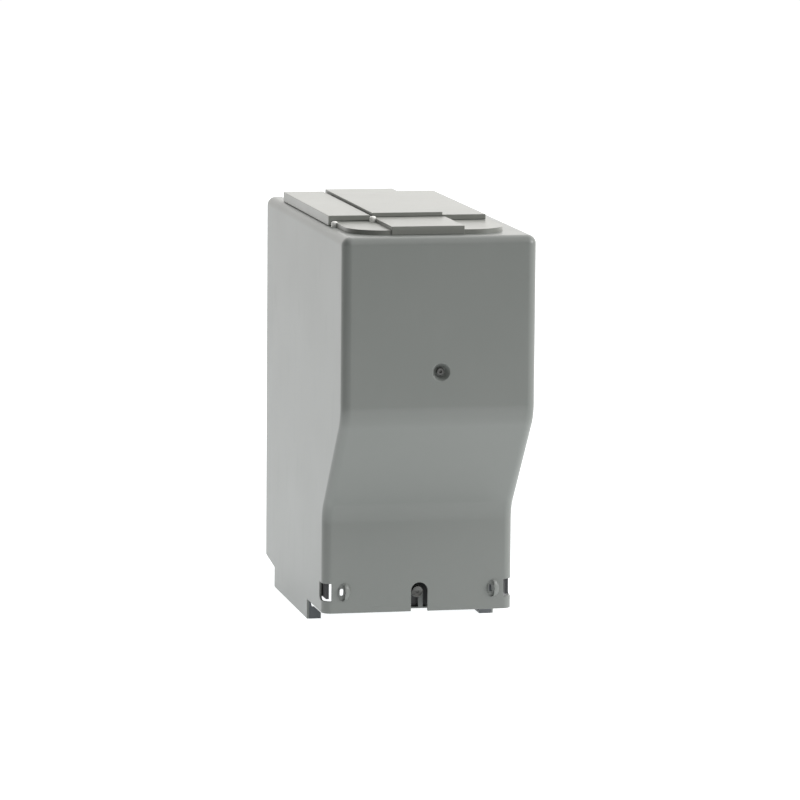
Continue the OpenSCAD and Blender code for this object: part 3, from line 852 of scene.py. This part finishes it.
BLOCK = {"radius": 4.5, "face": 191.6, "seat": 195.0, "shank": 2.5, "tip": 207.0}
screw = turned("block_screw", pan_head(**BLOCK))
driver_slot(screw, BLOCK["face"], 1.3, BLOCK["radius"], 1.1)
soften(screw, 0.12, 1)
across, up = (20, 0, 0), (0, 0, 162)
repeat("block_pan_screws", "block_screws", screw, (2, 2), (-10, 0, 100), across, up)

NEUTRAL = {"radius": 3.4, "face": 185.5, "seat": 188.7, "shank": 2.0, "tip": 191.8}
screw = turned("neutral_screw", pan_head(**NEUTRAL))
driver_slot(screw, NEUTRAL["face"], 1.3, NEUTRAL["radius"], 0.9)
soften(screw, 0.1, 1)
repeat("neutral_wire_screws", "neutral_screws", screw, (4, 1), (-30, 0, 310), (20, 0, 0))

HEXAGON = {"radius": 2.6, "floor": 161}
screw = turned("lug_screw", [(0, 156), (4.4, 156), (5, 156.6), (5, 167.2), (4.2, 168), (0, 168)])
socket = bmesh.new()
prism(socket, arc((0, 0), HEXAGON["radius"], 0, 300, 5), 150, HEXAGON["floor"])
combine(screw, new_object("socket", socket), "DIFFERENCE")
soften(screw, 0.12, 1)
across, up = (72, 0, 0), (0, 0, 186)
repeat("lug_socket_screws", "lug_screws", screw, (2, 2), (-36, 0, 89), across, up)

rivet = turned("rivet", [(0, 202), (1.2, 202.1), (2.2, 202.55), (2.8, 203.2), (3, 203.8), (3, 204)])
across, up = (165, 0, 0), (0, 0, 16)
repeat("arm_domed_rivets", "arm_rivets", rivet, (2, 2), (-82.5, 0, 66), across, up)

# %% [markdown]
# A spring wound from wire follows a path, so its tree draws a spiral and sweeps a small circle
# along it. Turns, radius, height and wire thickness are named inputs. Each latch has a short
# torsion spring on its pin, between the lever and the arm's flange.

# %% A tree that winds a wire
def coil_tree():
    plan = {
        "Turns": "Float", "Steps": "Int", "Radius": "Float",
        "Height": "Float", "Wire": "Float", "Material": "Material",
    }
    group, tree, given = open_tree("wound_wire", plan)
    sockets = {"Resolution": given["Steps"], "Rotations": given["Turns"]}
    sockets.update({"Start Radius": given["Radius"], "End Radius": given["Radius"]})
    path = tree.node("GeometryNodeCurveSpiral", values={**sockets, "Height": given["Height"]})
    sockets = {"Resolution": 8, "Radius": given["Wire"]}
    ring = tree.node("GeometryNodeCurvePrimitiveCircle", values=sockets)
    sockets = {"Curve": path, "Profile Curve": ring, "Fill Caps": True}
    swept = tree.node("GeometryNodeCurveToMesh", values=sockets)
    close_tree(tree, given, swept)
    return group


COIL = coil_tree()


def wind(bm, turns, radius, height, wire, move, steps=24):
    """Adds a wound wire to a mesh, turned and moved by a matrix in millimetres."""
    coil = run_tree(
        "coil",
        COIL,
        Turns=float(turns),
        Steps=steps,
        Radius=radius * MM,
        Height=height * MM,
        Wire=wire * MM,
        Material=FINISH["spring_steel"],
    )
    extra = bmesh.new()
    extra.from_mesh(coil.data)
    place = Matrix.Translation(move.translation * MM) @ move.to_3x3().to_4x4()
    bmesh.ops.transform(extra, matrix=place, verts=extra.verts)
    bmesh.ops.recalc_face_normals(extra, faces=extra.faces)
    mesh = bpy.data.meshes.new("coil")
    extra.to_mesh(mesh)
    extra.free()
    bm.from_mesh(mesh)
    bpy.data.objects.remove(coil)


PIVOT = (92, -80)
SPRING = {"turns": 1.6, "radius": 2.75, "height": 1.25, "wire": 0.5}
SPRING_Z = 55.85
bm = bmesh.new()
for side in (-1, 1):
    wind(bm, **SPRING, move=Matrix.Translation((side * PIVOT[0], PIVOT[1], SPRING_Z)))
springs = new_object("latch_coils", bm, merge=False)
for face in springs.data.polygons:
    face.use_smooth = True
mount(springs, "latch_springs")

# %% [markdown]
# The centre seal screw sits in the dish. Its head is a short barrel with a deep hole in the
# middle of its face, and its shank goes through the wall into the long seal post. The toothed
# clip behind the wall keeps the screw from dropping out when the cover comes off.

# %% Centre seal screw
low, high = [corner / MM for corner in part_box("centre_seal_screw")]
FACE, TIP = low.y, high.y
bm = bmesh.new()
barrel = [(1.3, FACE + 1.9), (1.35, FACE + 0.35), (1.6, FACE + 0.05), (3.2, FACE)]
barrel += [(3.7, FACE + 0.25), (4, FACE + 0.7), (4, FACE + 2.7), (3.8, FACE + 3)]
barrel += [(2, FACE + 3), (2, TIP - 0.8), (1.2, TIP)]
lathe(bm, [(0.0, FACE + 2.3), *barrel, (0.0, TIP)], (SEAL_X, 0, SEAL_Z), sides=48)
screw = new_object("centre_sealing_screw", bm)
soften(screw, 0.1, 1, 50)
mount(screw, "centre_seal_screw")

low, high = [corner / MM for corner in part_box("centre_clip")]
bm = bmesh.new()
TEETH, TOOTH_REACH, ROOT_REACH = 12, 4.15, 3.5
rim = []
for i in range(TEETH * 4):
    reach = TOOTH_REACH if i % 4 < 2 else ROOT_REACH
    angle = 2 * math.pi * i / (TEETH * 4)
    rim.append((SEAL_X + reach * math.cos(angle), SEAL_Z + reach * math.sin(angle)))
prism(bm, rim, low.y, high.y)
clip = new_object("toothed_clip", bm)
bore = bmesh.new()
lathe(bore, [(2.05, low.y - 1), (2.05, high.y + 1)], (SEAL_X, 0, SEAL_Z))
combine(clip, new_object("bore", bore), "DIFFERENCE")
soften(clip, 0.1, 1)
mount(clip, "centre_clip")

# %% [markdown]
# The lower screw holds the cover to the cross bar and is seen through the arch. Its head is
# dished and dark with zinc flake, with a small blind hole at its middle. The seal post is
# turned with a flange at its foot, and the lead-in at its mouth guides the centre screw.

# %% Lower screw and seal post
low, high = [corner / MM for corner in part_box("lower_seal_screw")]
FACE, TIP, LOWER_Z = low.y, high.y, 40.0
bm = bmesh.new()
head = [(0, FACE + 2.2), (1.2, FACE + 2.2), (1.2, FACE + 1.3), (2.6, FACE + 1.15)]
head += [(4.2, FACE + 0.7), (5.0, FACE + 0.1), (5.4, FACE), (5.8, FACE + 0.2)]
head += [(6, FACE + 0.8), (6, FACE + 3.6), (5.7, FACE + 4), (2.45, FACE + 4)]
head += [(2.45, TIP - 1.2), (1.4, TIP), (0, TIP)]
lathe(bm, head, (SEAL_X, 0, LOWER_Z), sides=64)
screw = new_object("lower_sealing_screw", bm)
soften(screw, 0.12, 1, 50)
mount(screw, "lower_seal_screw")

low, high = [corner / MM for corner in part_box("seal_post")]
bm = bmesh.new()
outline = [(0, low.y + 14), (2.3, low.y + 13), (2.3, low.y + 1.2), (3.2, low.y)]
outline += [(4.4, low.y), (5, low.y + 0.8), (5, high.y - 8), (5.6, high.y - 6)]
outline += [(7, high.y - 5), (10.4, high.y - 5), (11, high.y - 4.4), (11, high.y)]
lathe(bm, [*outline, (0, high.y)], (SEAL_X, 0, SEAL_Z), sides=64)
post = new_object("turned_seal_post", bm)
soften(post, 0.15, 1, 40)
mount(post, "seal_post")

# %% [markdown]
# Each latch lever turns on a headed pin. The pin's head is upset cold, which leaves it slightly
# domed below, and its top end is chamfered so that it presses into the arm's flange.

# %% Latch pins
bm = bmesh.new()
pin = [(0, 33.0), (1.6, 33.1), (2.7, 33.5), (3.2, 34.2), (3.2, 35.2), (2.9, 35.6)]
pin += [(1.5, 35.6), (1.5, 59.4), (0.9, 60), (0, 60)]
for side in (-1, 1):
    lathe(bm, pin, (side * PIVOT[0], PIVOT[1], 0), "Z")
pins = new_object("headed_pins", bm)
soften(pins, 0.1, 1, 50)
mount(pins, "latch_pins")

# %% [markdown]
# A finger reaches a latch lever through the corner window, so its end is ribbed for grip. The
# lever's body is dressed like the other mouldings, and the ribs come from the repeat tree: one
# upright round bar, half sunk in the lever, five times along it. Both end up in one mesh,
# because lever and ribs are one moulding.

# %% Latch levers
RIB = {"radius": 0.3, "across": 96.28, "first": -110.9, "step": 1.7, "count": 5}
for side, node in ((-1, "left_latch"), (1, "right_latch")):
    low, high = [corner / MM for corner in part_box(node)]
    lever = cad_copy(node, node + "_lever")
    soften(lever, 0.5)
    bm = bmesh.new()
    bar = [(0, low.z + 1.2), (RIB["radius"], low.z + 1.6)]
    bar += [(RIB["radius"], high.z - 1.6), (0, high.z - 1.2)]
    lathe(bm, bar, (side * RIB["across"], 0, 0), "Z", sides=12)
    rib = new_object("rib", bm)
    ribs = run_tree(
        "ribs",
        REPEAT,
        Part=rib,
        Count_across=RIB["count"],
        Count_up=1,
        Start=[0.0, RIB["first"] * MM, 0.0],
        Step_across=[0.0, RIB["step"] * MM, 0.0],
        Step_up=[0.0, 0.0, 0.0],
        Material=FINISH["latch_plastic"],
    )
    bpy.data.objects.remove(rib)
    both = bmesh.new()
    both.from_mesh(lever.data)
    both.from_mesh(ribs.data)
    both.to_mesh(lever.data)
    both.free()
    bpy.data.objects.remove(ribs)
    for face in lever.data.polygons:
        face.use_smooth = True
    mount(lever, node)

# %% [markdown]
# The last fastener is the green screw that marks the earth lug. Its washer head is pressed
# with the screw as one piece, with a slot across it for a broad driver.

# %% Ground screw
low, high = [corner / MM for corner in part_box("ground_screw")]
centre = (low + high) / 2
bm = bmesh.new()
head = [(0, low.y), (2.4, low.y + 0.1), (3.4, low.y + 0.5), (3.7, low.y + 1.2)]
head += [(3.7, low.y + 2.2), (4.9, low.y + 2.4), (5, low.y + 2.7), (5, low.y + 3.4)]
head += [(4.8, low.y + 3.5), (3, low.y + 3.5), (3, high.y - 0.8), (2.2, high.y), (0, high.y)]
lathe(bm, head, (centre.x, 0, centre.z))
screw = new_object("green_ground_screw", bm)
cut = bmesh.new()
block(cut, (centre.x - 6, low.y - 1, centre.z - 0.6), (centre.x + 6, low.y + 1.3, centre.z + 0.6))
combine(screw, new_object("slot", cut), "DIFFERENCE")
soften(screw, 0.12, 1)
mount(screw, "ground_screw")

# %% [markdown]
# The CAD nodes whose own shape is shown get their finish here.

for name, node in frame["nodes"].items():
    node.data.materials.clear()
    node.data.materials.append(FINISH[SLOT_OF[name]])
